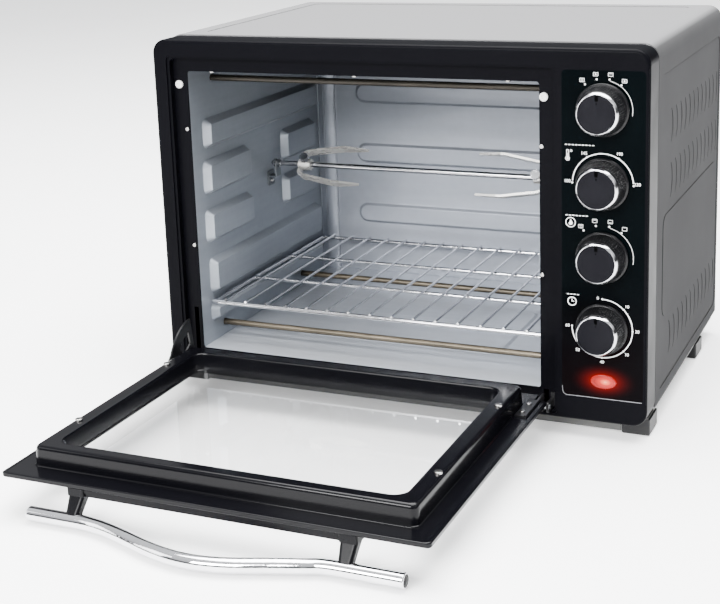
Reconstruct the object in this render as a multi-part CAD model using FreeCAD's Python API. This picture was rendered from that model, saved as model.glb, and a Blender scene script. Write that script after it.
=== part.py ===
import FreeCAD, Part
import math
import os

V = FreeCAD.Vector

# ---------------------------------------------------------------- driving sizes, mm
# Working frame: X to the oven's right as seen from the front, Y into the oven from the
# front frame's face, Z up from the front frame's lower edge. save() moves every piece
# to the part's own frame, whose origin is the middle of the footprint at floor level.
WIDTH = 500.0          # across the front frame and the casing
FRAME_H = 348.0        # front frame height
FRAME_DEPTH = 34.0     # front frame's visible return
CORNER_R = 14.0        # corner radius of frame and casing
CASE_TOP = 349.0
CASE_BOTTOM = 7.5
CASE_FRONT = 35.5
CASE_BACK = 344.0
SHEET = 1.2            # casing sheet
FOOT_BOTTOM = -17.0
SPACER = 12.0          # wall spacers behind the casing

DOOR_X = -34.0         # middle of door and cavity across the oven
CAV_HALF = 182.0       # half the cavity's width
CAV_Z0, CAV_Z1 = 25.0, 316.0
CAV_FRONT, CAV_BACK = 10.0, 325.0
LINER_T = 1.0
PAD_H = 8.0            # how far the side wall's runners stand into the cavity

RECESS_HALF = 197.5    # recess that takes the closed door
RECESS_Z0, RECESS_Z1 = 5.5, 329.5
RECESS_Y = 8.0

PIVOT_Y, PIVOT_Z = -4.0, 11.5      # door hinge axis
DOOR_HALF = 195.0
DOOR_TIP = -319.5      # door's free edge, door open
DOOR_HEEL = -1.0
DOOR_OUT, DOOR_IN = 17.0, 21.0     # outer panel's two faces, door open
RING_TOP = 39.5        # inner frame's face, door open
RING_HALF = 177.5
RING_Y0, RING_Y1 = -299.0, -26.0
WIN_HALF = 159.5
WIN_Y0, WIN_Y1 = -283.5, -44.0
WALL = 1.5
ARM_IN, ARM_OUT = 186.5, 188.5     # hinge arm plates, from the door's middle
ARM_R = 50.0
PIN_R = 2.5
RUN = 0.05             # running clearance of pins and shafts

BAR_Y, BAR_Z = -324.5, -9.1         # handle bar's centre line
BAR_R = 6.5
BAR_HALF = 170.5
BAR_X = -28.0          # middle of the bar
BOW_Y = -29.5          # how far the middle bows out
BOW_HALF = 122.0
POST_X = 124.0
POST_MID = -31.0
STRIP_Z = 10.0         # lower face of the strip between the posts

PANEL = (171.0, 246.5, 24.0, 329.0)
PANEL_T = 2.5
KNOB_X = 208.5
KNOB_Z = {"selector": 294.0, "temperature": 227.0, "function": 159.5, "timer": 92.0}
KNOB_R = 24.0
KNOB_FRONT = -24.5
SHAFT_R = 3.0
LAMP = (210.0, 41.0, 12.0, 6.8)

ROD_R = 3.25           # heating elements
ROD_Y = (57.0, 247.0)
ROD_Z = (38.5, 302.0)
SPIT_Y, SPIT_Z, SPIT_R = 178.0, 187.5, 3.0

RACK_Z = 69.5
RACK_Y0, RACK_Y1 = 28.5, 301.0
RACK_HALF = 178.4
RAIL_R, WIRE_R = 2.4, 1.3

Y_MIN = BAR_Y + BOW_Y - BAR_R
Y_MAX = CASE_BACK + SPACER
SHIFT = V(0, -(Y_MIN + Y_MAX) / 2, -FOOT_BOTTOM)

os.makedirs("parts", exist_ok=True)


# ---------------------------------------------------------------- helpers
def save(name, shape):
    """Moves a piece to the part's frame and writes it."""
    if isinstance(shape, list):
        shape = Part.makeCompound(shape)
    elif shape.ShapeType == "Compound" and len(shape.Solids) == 1:
        shape = shape.Solids[0]
    shape = shape.copy()
    shape.translate(SHIFT)
    shape.exportStep("parts/%s.step" % name)


def box(x0, x1, y0, y1, z0, z1):
    return Part.makeBox(x1 - x0, y1 - y0, z1 - z0, V(x0, y0, z0))


def along(edge, axis):
    d = edge.Vertexes[-1].Point - edge.Vertexes[0].Point
    return d.Length > 1e-6 and abs(abs(d.normalize().dot(axis)) - 1) < 1e-6


AX = {"x": V(1, 0, 0), "y": V(0, 1, 0), "z": V(0, 0, 1)}


def rbox(x0, x1, y0, y1, z0, z1, r, axis):
    """A box whose four edges along one axis are rounded."""
    b = box(x0, x1, y0, y1, z0, z1)
    return b.makeFillet(r, [e for e in b.Edges if along(e, AX[axis])])


def cyl(p, axis, r, length):
    return Part.makeCylinder(r, length, V(*p), AX[axis])


def wire(u0, u1, v0, v1, r, w, plane):
    """A rounded rectangle at height w over a plane: x is (y, z), y is (x, z), z is (x, y)."""
    def p(u, v):
        return {"x": V(w, u, v), "y": V(u, w, v), "z": V(u, v, w)}[plane]
    k = r * (1 - math.sqrt(0.5))
    edges = []
    for a, m, b, c in (
        ((u0, v0 + r), (u0 + k, v0 + k), (u0 + r, v0), (u1 - r, v0)),
        ((u1 - r, v0), (u1 - k, v0 + k), (u1, v0 + r), (u1, v1 - r)),
        ((u1, v1 - r), (u1 - k, v1 - k), (u1 - r, v1), (u0 + r, v1)),
        ((u0 + r, v1), (u0 + k, v1 - k), (u0, v1 - r), (u0, v0 + r)),
    ):
        edges.append(Part.Arc(p(*a), p(*m), p(*b)).toShape())
        if (p(*b) - p(*c)).Length > 1e-6:
            edges.append(Part.makeLine(p(*b), p(*c)))
    return Part.Wire(edges)


def pad(rect, r, w0, w1, inset, plane):
    """A pressed pad: rounded rectangle at w0 that narrows by inset to its face at w1."""
    u0, u1, v0, v1 = rect
    top = (u0 + inset, u1 - inset, v0 + inset, v1 - inset)
    return Part.makeLoft([wire(*rect, r, w0, plane), wire(*top, max(r - inset, 1.0), w1, plane)],
                         True, True)


def pressed(sheet, rects, r, face, sign, height, inset, plane):
    """Presses hollow pads out of a sheet whose cavity side is at face."""
    outer, inner = [], []
    for u0, u1, v0, v1 in rects:
        outer.append(pad((u0, u1, v0, v1), r, face, face + sign * height, inset, plane))
        t = LINER_T
        inner.append(pad((u0 + t, u1 - t, v0 + t, v1 - t), r - t, face - sign * (t + 0.01),
                         face + sign * (height - t), inset, plane))
    return sheet.fuse(outer).cut(inner)


def poly(points, plane, w0, w1):
    """A polygon extruded along the axis its plane is named for."""
    put = {"x": lambda u, v: V(w0, u, v), "y": lambda u, v: V(u, w0, v),
           "z": lambda u, v: V(u, v, w0)}[plane]
    pts = [put(u, v) for u, v in points]
    face = Part.Face(Part.makePolygon(pts + [pts[0]]))
    return face.extrude(AX[plane] * (w1 - w0))


def mirror_x(shape):
    """The same piece on the door's other side."""
    return shape.mirror(V(DOOR_X, 0, 0), V(1, 0, 0))


def screw(p, direction, r=3.2, head=1.8, shank_r=1.6, shank=6.0):
    """A pan head screw: p is under the head, direction points out of the head."""
    d = V(*direction)
    body = Part.makeCylinder(r, head, V(*p), d)
    rim = [e for e in body.Edges if abs((e.CenterOfMass - V(*p)).dot(d) - head) < 1e-6
           and e.Curve.TypeId == "Part::GeomCircle"]
    body = body.makeFillet(min(0.7, head * 0.4), rim)
    cross = Part.makeBox(r * 1.1, 0.7, 1.0, V(-r * 0.55, -0.35, head - 0.6)).fuse(
        Part.makeBox(0.7, r * 1.1, 1.0, V(-0.35, -r * 0.55, head - 0.6)))
    cross.Placement = FreeCAD.Placement(V(*p), FreeCAD.Rotation(V(0, 0, 1), d))
    body = body.cut(cross)
    return body.fuse(Part.makeCylinder(shank_r, shank, V(*p), d * -1)).removeSplitter()


# ---------------------------------------------------------------- front frame
half = WIDTH / 2
frame = rbox(-half, half, 0, FRAME_DEPTH, 0, FRAME_H, CORNER_R, "y")
rim = [e for e in frame.Edges if all(abs(v.Point.y) < 1e-6 for v in e.Vertexes)]
frame = frame.makeFillet(3.5, rim)
frame = frame.cut(rbox(-half + 2, half - 2, 2, FRAME_DEPTH + 1, 2, FRAME_H - 2, CORNER_R - 2, "y"))
# rear collar that the casing slides over
collar = rbox(-half + 2, half - 2, FRAME_DEPTH - 4, FRAME_DEPTH + 9, 2, FRAME_H - 2, 12, "y").cut(
    rbox(-half + 3.2, half - 3.2, FRAME_DEPTH - 5, FRAME_DEPTH + 10, 3.2, FRAME_H - 3.2, 10.8, "y"))
# tub of the door recess and the panel's backing
tub = box(DOOR_X - 202, DOOR_X + 202, 0.5, RECESS_Y + 2, 2, 333)
backing = box(PANEL[0] - 2.5, half - 1, 0.5, PANEL_T + 2, PANEL[2] - 2, PANEL[3] + 2)
frame = frame.fuse([collar, tub, backing])
cuts = [
    rbox(DOOR_X - 200.5, DOOR_X + 200.5, -1, 1.5, 4, 331.5, 4, "y"),
    rbox(DOOR_X - RECESS_HALF, DOOR_X + RECESS_HALF, -1, RECESS_Y, RECESS_Z0, RECESS_Z1, 5, "y"),
    rbox(DOOR_X - CAV_HALF, DOOR_X + CAV_HALF, -1, 20, CAV_Z0, CAV_Z1, 3, "y"),
    rbox(PANEL[0], PANEL[1], -1, PANEL_T, PANEL[2], PANEL[3], 4, "y"),
    box(DOOR_X - 190, DOOR_X - 185, 0, 20, 8.5, 69),
    box(DOOR_X + 185, DOOR_X + 190, 0, 20, 8.5, 24),
]
SIDE_SCREWS = [(x, z) for x in (DOOR_X - 184.8, DOOR_X + 184.2) for z in (257.0, 136.0)]
LIP_SCREWS = [(x, 13.0) for x in (-190.0, -35.0, 117.5)]
REAR_SCREWS = [(-236, 330), (0, 335), (236, 330), (-236, 160), (236, 160), (-236, 22), (236, 22)]
cuts += [cyl((x, 0, z), "y", 1.6, 20) for x, z in SIDE_SCREWS]
for z in KNOB_Z.values():
    cuts.append(cyl((KNOB_X, 0, z), "y", 8.0, 10))


def lamp_prism(grow, y0, y1):
    e = Part.Face(Part.Wire(Part.Ellipse(V(0, 0, 0), LAMP[2] + grow, LAMP[3] + grow).toShape()))
    e.rotate(V(0, 0, 0), V(1, 0, 0), 90)
    e.translate(V(LAMP[0], y0, LAMP[1]))
    return e.extrude(V(0, y1 - y0, 0))


cuts.append(lamp_prism(0.1, -1, 8))
frame = frame.cut(cuts).removeSplitter()
save("front_frame", frame)

# ---------------------------------------------------------------- outer casing
case = rbox(-half, half, CASE_FRONT, CASE_BACK, -40, CASE_TOP, CORNER_R, "y")
inner = rbox(-half + SHEET, half - SHEET, CASE_FRONT - 1, CASE_BACK + 1, -41, CASE_TOP - SHEET,
             CORNER_R - SHEET, "y")
case = case.cut(inner).cut(box(-300, 300, 0, 400, -60, CASE_BOTTOM))
lips = [box(x0, x0 + 12 - SHEET, CASE_FRONT + 9.5, CASE_BACK, CASE_BOTTOM, CASE_BOTTOM + SHEET)
        for x0 in (-half + SHEET, half - 12)]
case = case.fuse(lips)
press = 0.6
shallow = [rbox(-220, 220, 56, 326, CASE_TOP - press, CASE_TOP + 1, 8, "z")]
for x0 in (half - press, -half - 1):
    side_field = rbox(x0, x0 + 1 + press, 50, 336, 18, 318, 10, "x")
    shallow.append(side_field.cut(rbox(x0 - 1, x0 + 3, 62, 324, 86, 184, 12, "x")))
LOUVRE_ROWS = ((249.0, 281.0), (196.0, 230.0), (41.0, 75.0))
LOUVRES = 12
slits = []
for side in (-1, 1):
    for z0, z1 in LOUVRE_ROWS:
        for i in range(LOUVRES):
            y = 93.0 + i * 20.6
            h, sag, wide = (z1 - z0) / 2, 5.5, 4.0
            zc = (z0 + z1) / 2
            a = Part.Arc(V(0, y, zc - h), V(0, y + sag, zc), V(0, y, zc + h)).toShape()
            b = Part.Arc(V(0, y + wide * 0.4, zc + h), V(0, y + sag + wide, zc),
                         V(0, y + wide * 0.4, zc - h)).toShape()
            ends = [Part.makeLine(V(0, y, zc + h), V(0, y + wide * 0.4, zc + h)),
                    Part.makeLine(V(0, y + wide * 0.4, zc - h), V(0, y, zc - h))]
            f = Part.Face(Part.Wire([a, ends[0], b, ends[1]]))
            f.translate(V(side * (half - 3), 0, 0))
            slits.append(f.extrude(V(side * 6, 0, 0)))
case = case.cut(shallow).cut(slits)
save("outer_casing", case)

# ---------------------------------------------------------------- rear panel, base, feet
rear = rbox(-half + 1.3, half - 1.3, CASE_BACK - SHEET, CASE_BACK, -40, CASE_TOP - 1.3, 12.7, "y")
rear = rear.cut(box(-300, 300, 300, 400, -60, CASE_BOTTOM + SHEET + 0.1))
vents = []
for row in range(4):
    for i in range(9):
        x = -160.0 + i * 40.0
        z = 250.0 + row * 18.0
        vents.append(rbox(x - 14, x + 14, 300, 400, z - 2, z + 2, 1.9, "y"))
INLET = (190.0, 45.0)
vents.append(cyl((INLET[0], 300, INLET[1]), "y", 7.0, 100))
vents += [cyl((x, 300, z), "y", 1.6, 100) for x, z in REAR_SCREWS]
rear = rear.cut(vents)
save("rear_panel", rear)

base = box(-246, 246, 24, CASE_BACK - 2, -SHEET, 0)
base = base.fuse([
    box(-221, 221, 24, 25.2, -14.8, 0),
    box(-246, -244.8, 46, CASE_BACK - 2, -SHEET, CASE_BOTTOM),
    box(244.8, 246, 46, CASE_BACK - 2, -SHEET, CASE_BOTTOM),
    box(-244.8, 244.8, CASE_BACK - 3.2, CASE_BACK - 2, -SHEET, CASE_BOTTOM)]).removeSplitter()
holes = []
for i in range(8):
    for j in range(5):
        x, y = -150 + i * 30, 90 + j * 40
        holes.append(rbox(x - 9, x + 9, y, y + 4, -5, 2, 1.9, "z"))
base = base.cut(holes)
save("base_plate", base)

feet = []
for x0 in (-248.0, 221.5):
    for y0 in (23.0, 246.0):
        foot = box(x0, x0 + 26.5, y0, y0 + 33, FOOT_BOTTOM, -SHEET)
        if y0 < 100:
            foot = foot.cut(box(-221.2, 221.2, 20, 26, -30, 0))
        foot = foot.makeFillet(1.5, [e for e in foot.Edges if along(e, AX["z"])])
        low = [e for e in foot.Edges if all(abs(v.Point.z - FOOT_BOTTOM) < 1e-6 for v in e.Vertexes)]
        foot = foot.makeChamfer(1.2, low)
        feet.append(foot)
save("feet", feet)

# ---------------------------------------------------------------- cavity liner
RUNNERS = (  # y0, y1, z0, z1 of the pads pressed into a side wall
    (32.0, 296.0, 231.0, 262.0),
    (28.0, 124.0, 183.0, 219.0), (206.0, 288.0, 183.0, 219.0),
    (27.0, 125.0, 132.0, 167.0), (205.0, 289.0, 132.0, 167.0),
    (30.0, 296.0, 77.0, 115.0),
    (28.0, 296.0, 47.0, 66.5),
)
x_l, x_r = DOOR_X - CAV_HALF, DOOR_X + CAV_HALF
CORNER = 18.0
side = box(x_l - LINER_T, x_l, CAV_FRONT, CAV_BACK - CORNER, CAV_Z0, CAV_Z1)
side = side.fuse(box(x_l - 10, x_l - LINER_T, CAV_FRONT, CAV_FRONT + 1, 75, 310))
side = pressed(side, RUNNERS, 7.0, x_l, 1, PAD_H, 5.0, "x")
rod_holes = [cyl((x_l - 30, y, z), "x", ROD_R + 0.6, 60) for y in ROD_Y for z in ROD_Z]
side = side.cut(rod_holes)
save("liner_left", side.cut([cyl((x, 0, z), "y", 1.6, 20) for x, z in SIDE_SCREWS[:2]]))
right = mirror_x(side).cut(cyl((x_r - 30, SPIT_Y, SPIT_Z), "x", 10.0, 60))
save("liner_right", right.cut([cyl((x, 0, z), "y", 1.6, 20) for x, z in SIDE_SCREWS[2:]]))

back = rbox(x_l - LINER_T, x_r + LINER_T, CAV_BACK - 60, CAV_BACK + LINER_T, CAV_Z0, CAV_Z1,
            CORNER + LINER_T, "z")
back = back.cut(rbox(x_l, x_r, CAV_BACK - 80, CAV_BACK, CAV_Z0 - 1, CAV_Z1 + 1, CORNER, "z"))
back = back.cut(box(-300, 300, 0, CAV_BACK - CORNER, 0, 400))
BACK_PADS = tuple((DOOR_X - 139, DOOR_X + 139, z0, z0 + 24) for z0 in (232.0, 159.5, 86.0))
back = pressed(back, BACK_PADS, 11.9, CAV_BACK, -1, 3.0, 3.0, "y")
save("liner_back", back)

top = box(x_l - LINER_T, x_r + LINER_T, CAV_FRONT, CAV_BACK + LINER_T, CAV_Z1, CAV_Z1 + LINER_T)
save("liner_top", top.cut([cyl((x, y, CAV_Z1 - 5), "z", 1.6, 10) for x, y in LIP_SCREWS]))
floor = box(x_l - LINER_T, x_r + LINER_T, CAV_FRONT, CAV_BACK + LINER_T, CAV_Z0 - LINER_T, CAV_Z0)
floor = pressed(floor, ((DOOR_X - 118, DOOR_X + 118, 80, 225),), 18.0, CAV_Z0, 1, 2.0, 2.5, "z")
save("liner_floor", floor)

# ---------------------------------------------------------------- heating elements
names = {(57.0, 38.5): "lower_element_front", (247.0, 38.5): "lower_element_rear",
         (57.0, 302.0): "upper_element_front", (247.0, 302.0): "upper_element_rear"}
insulators = []
for (y, z), name in names.items():
    rod = cyl((x_l - 12, y, z), "x", ROD_R, 2 * CAV_HALF + 24)
    rod = rod.fuse([cyl((x_l - 24, y, z), "x", 1.5, 12), cyl((x_r + 12, y, z), "x", 1.5, 12)])
    save(name, rod.removeSplitter())
    for x0, x1 in ((x_l - 10, x_l - LINER_T), (x_r + LINER_T, x_r + 10)):
        bush = cyl((x0, y, z), "x", 6.5, x1 - x0)
        bush = bush.cut(cyl((x0 - 1, y, z), "x", ROD_R, 20))
        insulators.append(bush)
save("element_insulators", insulators)

# ---------------------------------------------------------------- wire rack
rack = []
for y in (RACK_Y0, RACK_Y1):
    rack.append(cyl((DOOR_X - RACK_HALF, y, RACK_Z), "x", RAIL_R, 2 * RACK_HALF))
for s in (-1, 1):
    rack.append(cyl((DOOR_X + s * RACK_HALF, RACK_Y0, RACK_Z), "y", RAIL_R, RACK_Y1 - RACK_Y0))
    for y in (RACK_Y0, RACK_Y1):
        rack.append(Part.makeSphere(RAIL_R, V(DOOR_X + s * RACK_HALF, y, RACK_Z)))
wire_z = RACK_Z + RAIL_R + WIRE_R - 0.5
for i in range(15):
    x = DOOR_X + (i - 7) * 23.3
    rack.append(cyl((x, RACK_Y0 - 2, wire_z), "y", WIRE_R, RACK_Y1 - RACK_Y0 + 4))
for y in (RACK_Y0 + 92, RACK_Y0 + 182):
    rack.append(cyl((DOOR_X - RACK_HALF, y, RACK_Z + 0.4), "x", 2.0, 2 * RACK_HALF))
rack = rack[0].fuse(rack[1:])
save("wire_rack", rack)


# ---------------------------------------------------------------- spit and forks
def spin(shape, degrees):
    shape = shape.copy()
    shape.rotate(V(0, SPIT_Y, SPIT_Z), V(1, 0, 0), degrees)
    return shape


SPIT_X0, SPIT_X1 = x_l + 3.0, x_r - 1.5
rod = cyl((SPIT_X0 + 1.5, SPIT_Y, SPIT_Z), "x", SPIT_R, SPIT_X1 - SPIT_X0 - 13.5)
tip = Part.makeCone(2.0, SPIT_R, 1.5, V(SPIT_X0, SPIT_Y, SPIT_Z), V(1, 0, 0))
square = box(SPIT_X1 - 12, SPIT_X1, SPIT_Y - 2.6, SPIT_Y + 2.6, SPIT_Z - 2.6, SPIT_Z + 2.6)
ring = cyl((SPIT_X0 + 8.25, SPIT_Y, SPIT_Z), "x", 4.6, 2.0)
ring2 = cyl((SPIT_X0 + 3.25, SPIT_Y, SPIT_Z), "x", 4.6, 2.0)
save("spit_rod", rod.fuse([tip, square, ring, ring2]).removeSplitter())

socket = cyl((SPIT_X1 - 10, SPIT_Y, SPIT_Z), "x", 8.0, 12)
socket = socket.cut(box(SPIT_X1 - 11, SPIT_X1, SPIT_Y - 2.6, SPIT_Y + 2.6, SPIT_Z - 2.6, SPIT_Z + 2.6))
socket = socket.fuse(cyl((SPIT_X1 + 2, SPIT_Y, SPIT_Z), "x", 4.0, 22))
save("drive_socket", socket)

# left support: a plate on the wall with a tongue whose open notch carries the spit
sup_x = SPIT_X0 + 6.75
SUPPORT_SCREW = (x_l + SHEET, SPIT_Y, SPIT_Z - 20.5)
support = rbox(x_l, x_l + SHEET, SPIT_Y - 8, SPIT_Y + 8, SPIT_Z - 26, SPIT_Z - 9, 3, "x")
support = support.cut(cyl((x_l - 1, SPIT_Y, SPIT_Z - 20.5), "x", 1.6, 4))
tongue = poly(((SPIT_Y - 6, SPIT_Z - 14), (SPIT_Y + 6, SPIT_Z - 14), (SPIT_Y + 5, SPIT_Z + 3),
               (SPIT_Y - 5, SPIT_Z + 3)), "x", sup_x - 0.75, sup_x + 0.75)
notch = cyl((sup_x - 5, SPIT_Y, SPIT_Z), "x", SPIT_R + RUN, 10).fuse(
    box(sup_x - 5, sup_x + 5, SPIT_Y - SPIT_R - RUN, SPIT_Y + SPIT_R + RUN, SPIT_Z, SPIT_Z + 20))
shelf = box(x_l, sup_x + 0.75, SPIT_Y - 6, SPIT_Y + 6, SPIT_Z - 15.2, SPIT_Z - 14)
save("spit_support", support.fuse([tongue.cut(notch), shelf]).removeSplitter())

motor = rbox(x_r + 4, x_r + 40, SPIT_Y - 26, SPIT_Y + 40, SPIT_Z - 26, SPIT_Z + 26, 6, "x")
motor = motor.cut(cyl((x_r, SPIT_Y, SPIT_Z), "x", 4.0 + RUN, 30))
for y, z in ((-20, -20), (34, 20)):
    motor = motor.fuse(cyl((x_r + LINER_T, SPIT_Y + y, SPIT_Z + z), "x", 4.0, 3.0))
motor = motor.fuse(cyl((x_r + 40, SPIT_Y + 14, SPIT_Z), "x", 18.0, 22.0))
save("gear_motor", motor.removeSplitter())


def fork(hub_x, sign, tilt):
    """A two pronged fork whose hub is at hub_x and whose prongs point along sign."""
    hub = cyl((hub_x - 7, SPIT_Y, SPIT_Z), "x", 6.5, 14)
    strip = 4.5
    prongs = []
    for s in (1, -1):
        line = ((-4.5, 5.0), (-4.5, 12.5), (2.0, 16.0), (41.0, 22.5), (70.0, 22.0))
        thick = 2.4
        for (a, b), (c, d) in zip(line, line[1:]):
            u = V(c - a, 0, d - b)
            u.normalize()
            n = V(-u.z, 0, u.x) * (thick / 2)
            e = u * 0.9
            last = c > 60
            pts = [(a - e.x + n.x, b - e.z + n.z), (c + n.x, d + n.z), (c - n.x, d - n.z),
                   (a - e.x - n.x, b - e.z - n.z)]
            pts = [(hub_x + sign * p, SPIT_Z + s * q) for p, q in pts]
            if last:
                tipw = poly(pts, "y", SPIT_Y - strip, SPIT_Y + strip)
                x_a, x_b = hub_x + sign * 39, hub_x + sign * 70.5
                wedge = poly(((x_a, SPIT_Y - strip - 1), (x_a, SPIT_Y + strip + 1),
                              (x_b, SPIT_Y + 0.6), (x_b, SPIT_Y - 0.6)), "z", SPIT_Z - 40, SPIT_Z + 40)
                prongs.append(tipw.common(wedge))
            else:
                prongs.append(poly(pts, "y", SPIT_Y - strip, SPIT_Y + strip))
    shape = hub.fuse(prongs)
    shape = shape.cut(cyl((hub_x - 20, SPIT_Y, SPIT_Z), "x", SPIT_R + RUN, 40))
    shape = shape.cut(Part.makeCylinder(2.0, 12, V(hub_x + sign * 2.6, SPIT_Y, SPIT_Z), V(0, -1, 0)))
    return spin(shape.removeSplitter(), -tilt)


def thumbscrew(hub_x, sign, tilt):
    x = hub_x + sign * 2.6
    s = Part.makeCylinder(2.0, 9.0, V(x, SPIT_Y - 3.3, SPIT_Z), V(0, -1, 0))
    head = Part.makeCylinder(5.2, 5.0, V(x, SPIT_Y - 11.0, SPIT_Z), V(0, -1, 0))
    ribs = [Part.makeCylinder(0.7, 8.0, V(x + 5.2 * math.cos(a), SPIT_Y - 9.0,
                                          SPIT_Z + 5.2 * math.sin(a)), V(0, -1, 0))
            for a in (math.radians(30 * k) for k in range(12))]
    return spin(s.fuse(head.cut(ribs)).removeSplitter(), -tilt)


HUB_L, HUB_R = -171.0, 99.0
save("fork_left", fork(HUB_L, 1, 45.0))
save("fork_right", fork(HUB_R, -1, 25.0))
save("thumbscrew_left", thumbscrew(HUB_L, 1, 45.0))
save("thumbscrew_right", thumbscrew(HUB_R, -1, 25.0))

# ---------------------------------------------------------------- door, drawn open
outer = rbox(DOOR_X - DOOR_HALF, DOOR_X + DOOR_HALF, DOOR_TIP, DOOR_HEEL, DOOR_OUT, DOOR_IN, 4, "z")
low = [e for e in outer.Edges if all(abs(v.Point.z - DOOR_OUT) < 1e-6 for v in e.Vertexes)]
outer = outer.makeFillet(1.6, low)
outer = outer.cut([
    rbox(DOOR_X - 163, DOOR_X + 163, -286, -41, 0, 40, 8, "z"),
    rbox(DOOR_X - 170.2, DOOR_X + 170.2, -293.2, -33.8, 18, 40, 6, "z"),
    box(DOOR_X - 200, DOOR_X - 182.5, -16, 5, 0, 40),
    box(DOOR_X + 182.5, DOOR_X + 200, -16, 5, 0, 40)])
save("door_outer_frame", outer)
save("door_glass", rbox(DOOR_X - 170, DOOR_X + 170, -293, -34, 18, DOOR_IN, 5.8, "z"))

ring = rbox(DOOR_X - RING_HALF, DOOR_X + RING_HALF, RING_Y0, RING_Y1, DOOR_IN, RING_TOP, 8, "z")
upper = [e for e in ring.Edges if all(abs(v.Point.z - RING_TOP) < 1e-6 for v in e.Vertexes)]
ring = ring.makeFillet(2.5, upper)
window = rbox(DOOR_X - WIN_HALF, DOOR_X + WIN_HALF, WIN_Y0, WIN_Y1, 0, 60, 12, "z")
hollow = rbox(DOOR_X - RING_HALF + WALL, DOOR_X + RING_HALF - WALL, RING_Y0 + WALL, RING_Y1 - WALL,
              DOOR_IN - 1, RING_TOP - WALL, 6.5, "z")
hollow = hollow.makeFillet(1.0, [e for e in hollow.Edges if all(
    abs(v.Point.z - RING_TOP + WALL) < 1e-6 for v in e.Vertexes)])
hollow = hollow.cut(rbox(DOOR_X - WIN_HALF - WALL, DOOR_X + WIN_HALF + WALL, WIN_Y0 - WALL,
                         WIN_Y1 + WALL, 0, 60, 13.5, "z"))
ring = ring.cut([window, hollow])
DOOR_SCREWS = [(DOOR_X + s * 170.5, y) for s in (-1, 1) for y in (-84.0, -236.0)]
bosses = [cyl((x, y, DOOR_IN), "z", 3.6, RING_TOP - WALL - DOOR_IN + 0.2) for x, y in DOOR_SCREWS]
ring = ring.fuse(bosses).cut([cyl((x, y, DOOR_IN - 1), "z", 1.6, 30) for x, y in DOOR_SCREWS])
save("door_inner_frame", ring.removeSplitter())


# hinge arm: a quarter fin about the hinge axis that slides into the frame's slot
def arc_point(r, deg):
    a = math.radians(deg)
    return (PIVOT_Y + r * math.cos(a), PIVOT_Z + r * math.sin(a))


x_a, x_b = DOOR_X - ARM_OUT, DOOR_X - ARM_IN
rim_pts = [arc_point(ARM_R, 95 + 57.0 * i / 2) for i in range(3)]
arc = Part.Arc(*[V(x_a, *p) for p in rim_pts]).toShape()
foot_tip = (-60.0, DOOR_IN)
corner = [V(x_a, *rim_pts[-1]), V(x_a, -60.0, DOOR_IN + 2), V(x_a, *foot_tip), V(x_a, -15.5, DOOR_IN),
          V(x_a, -8.5, 9.5), V(x_a, 0.0, 9.0), V(x_a, *rim_pts[0])]
fin = Part.Face(Part.Wire([arc] + [Part.makeLine(a, b) for a, b in zip(corner, corner[1:])]))
arm = fin.extrude(V(x_b - x_a, 0, 0)).fuse(cyl((x_a, PIVOT_Y, PIVOT_Z), "x", 5.0, x_b - x_a))
arm = arm.fuse(box(x_b, DOOR_X - RING_HALF, -60, -18, DOOR_IN, DOOR_IN + 1.5))
window_pts = [arc_point(38, 104), arc_point(38, 122), arc_point(38, 140), arc_point(24, 140),
              arc_point(24, 104)]
arm = arm.cut(poly(window_pts, "x", x_a - 1, x_b + 1))
arm = arm.cut(cyl((x_a - 1, PIVOT_Y, PIVOT_Z), "x", PIN_R + RUN, 5))
ARM_SCREWS = [(DOOR_X - 182.0, y) for y in (-50.0, -30.0)]
arm = arm.cut([cyl((x, y, 10), "z", 1.6, 20) for x, y in ARM_SCREWS]).removeSplitter()
save("hinge_arm_left", arm)
# the right arm has no fin, only the low plate along the door
save("hinge_arm_right", mirror_x(arm).cut(box(DOOR_X, DOOR_X + 200, -100, 20, DOOR_IN + 2.4, 100)))

# fixed ears with pins
ear = cyl((DOOR_X - 194, PIVOT_Y, PIVOT_Z), "x", 5.5, 2).fuse(
    [box(DOOR_X - 194, DOOR_X - 192, PIVOT_Y, RECESS_Y, 6.5, 16.5),
     box(DOOR_X - 197, DOOR_X - 192, RECESS_Y - 1.2, RECESS_Y, 9, 22)]).removeSplitter()
ear = ear.cut(cyl((DOOR_X - 200, PIVOT_Y, PIVOT_Z), "x", PIN_R, 20))
save("hinge_brackets", [ear, mirror_x(ear)])
pin = cyl((DOOR_X - 194.6, PIVOT_Y, PIVOT_Z), "x", PIN_R, 9.6).fuse(
    cyl((DOOR_X - 185.8, PIVOT_Y, PIVOT_Z), "x", 4.0, 1.3)).removeSplitter()
save("hinge_pins", [pin, mirror_x(pin)])

# ---------------------------------------------------------------- handle
path_pts = []
for i in range(9):
    x = -BOW_HALF + i * BOW_HALF / 4
    t = 0.5 * (1 + math.cos(math.pi * x / BOW_HALF))
    path_pts.append(V(BAR_X + x, BAR_Y + BOW_Y * t, BAR_Z))
curve = Part.BSplineCurve()
curve.interpolate(path_pts, InitialTangent=V(1, 0, 0), FinalTangent=V(1, 0, 0))
start = Part.Wire(Part.makeCircle(BAR_R, path_pts[0], V(1, 0, 0)))
bow = Part.Wire(curve.toShape()).makePipeShell([start], True, False)
ends = []
for s in (-1, 1):
    end = Part.makeCylinder(BAR_R, BAR_HALF - BOW_HALF, V(BAR_X + s * BOW_HALF, BAR_Y, BAR_Z), V(s, 0, 0))
    tip = [e for e in end.Edges if abs(abs(e.CenterOfMass.x - BAR_X) - BAR_HALF) < 1e-6]
    ends.append(end.makeFillet(1.5, [e for e in tip if e.Curve.TypeId == "Part::GeomCircle"]))
bar = bow.fuse(ends).removeSplitter()
save("handle_bar", bar)
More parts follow.
